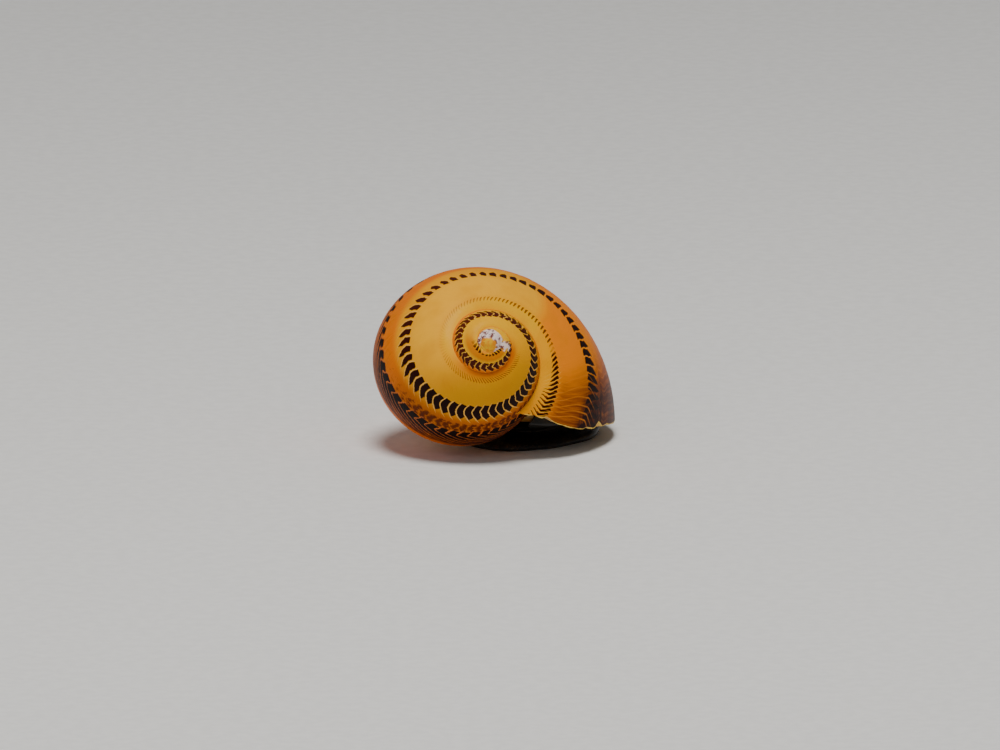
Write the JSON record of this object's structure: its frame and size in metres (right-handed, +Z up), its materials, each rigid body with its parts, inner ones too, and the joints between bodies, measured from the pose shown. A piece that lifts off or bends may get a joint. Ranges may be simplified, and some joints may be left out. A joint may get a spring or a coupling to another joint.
{
  "type": "nerite snail",
  "caption": "Life-size still model of a nerite snail on its foot: round banded shell, flat sole, head, feelers and operculum.",
  "frame": {"origin": "middle of the model's box in plan, on the floor under the flat sole", "axes": "+Z up; +Y away from the side that shows the spire, towards the head and feelers; +X to the right as seen from that side"},
  "size_m": [0.0202, 0.026, 0.0147],
  "materials": {
    "shell": "satin gloss shell, orange with dark brown spiral rows of marks",
    "skin": "moist, near black with fine pale lines",
    "eye": "wet, black",
    "operculum": "smooth, limy, pinkish grey"
  },
  "bodies": {
    "root": {"shell": "shell", "foot": "skin", "body": "skin", "head": "skin", "snout": "skin", "tentacle_left_base": "skin", "tentacle_left_middle": "skin", "tentacle_left_tip": "skin", "tentacle_right_base": "skin", "tentacle_right_middle": "skin", "tentacle_right_tip": "skin", "eye_stalk_left": "skin", "eye_stalk_right": "skin", "eye_left": "eye", "eye_right": "eye", "operculum": "operculum"}
  },
  "joints": []
}
